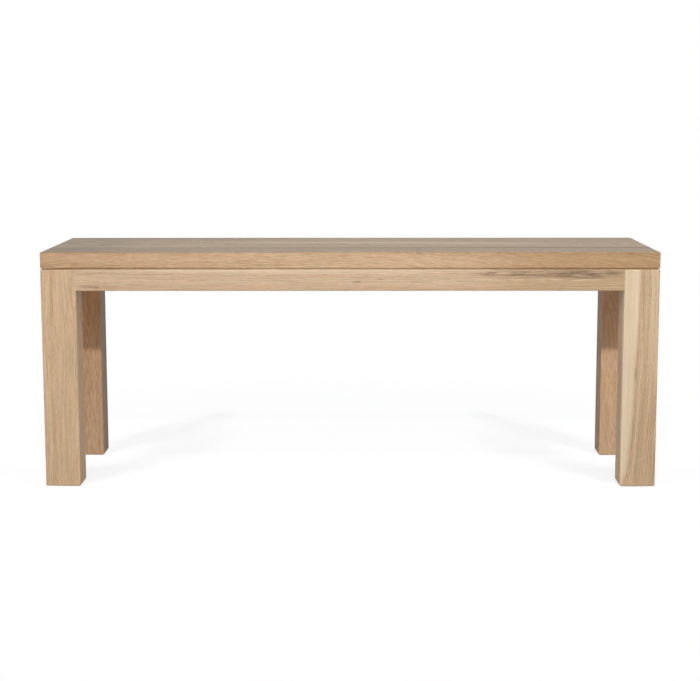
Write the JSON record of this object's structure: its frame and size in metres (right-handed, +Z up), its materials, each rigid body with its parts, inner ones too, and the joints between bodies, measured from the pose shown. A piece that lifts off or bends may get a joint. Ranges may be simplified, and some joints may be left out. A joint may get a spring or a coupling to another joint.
{
  "type": "bench",
  "caption": "Plain backless solid oak bench: thick edge-glued seat flush over square legs and shallow mortised aprons, with a fine shadow line between them.",
  "frame": {"origin": "on the floor, under the middle of the seat", "axes": "+X along the bench's length, to the right seen from the front; +Y from the front to the back; +Z up"},
  "size_m": [1.2, 0.355, 0.463],
  "materials": {
    "seat_oak": "satin oiled oak",
    "leg_oak": "satin oiled oak",
    "apron_oak": "satin oiled oak",
    "fitting_oak": "bare planed oak",
    "biscuit_beech": "bare pressed beech",
    "zinc_steel": "bright zinc",
    "nail_steel": "bare steel",
    "glide_nylon": "matt nylon"
  },
  "bodies": {
    "root": {"apron_back": "apron_oak", "apron_front": "apron_oak", "apron_left": "apron_oak", "apron_right": "apron_oak", "brace_screws": "zinc_steel", "button_back_1": "fitting_oak", "button_back_2": "fitting_oak", "button_back_3": "fitting_oak", "button_back_4": "fitting_oak", "button_front_1": "fitting_oak", "button_front_2": "fitting_oak", "button_front_3": "fitting_oak", "button_front_4": "fitting_oak", "button_left": "fitting_oak", "button_right": "fitting_oak", "button_screws": "zinc_steel", "centre_rail": "fitting_oak", "corner_brace_back_left": "fitting_oak", "corner_brace_back_right": "fitting_oak", "corner_brace_front_left": "fitting_oak", "corner_brace_front_right": "fitting_oak", "glide_back_left": "glide_nylon", "glide_back_right": "glide_nylon", "glide_front_left": "glide_nylon", "glide_front_right": "glide_nylon", "glide_nails": "nail_steel", "leg_back_left": "leg_oak", "leg_back_right": "leg_oak", "leg_front_left": "leg_oak", "leg_front_right": "leg_oak", "rail_screws": "zinc_steel", "rail_washers": "zinc_steel", "seat_biscuits_back": "biscuit_beech", "seat_biscuits_front": "biscuit_beech", "seat_board_back": "seat_oak", "seat_board_front": "seat_oak", "seat_board_middle": "seat_oak"}
  },
  "joints": []
}
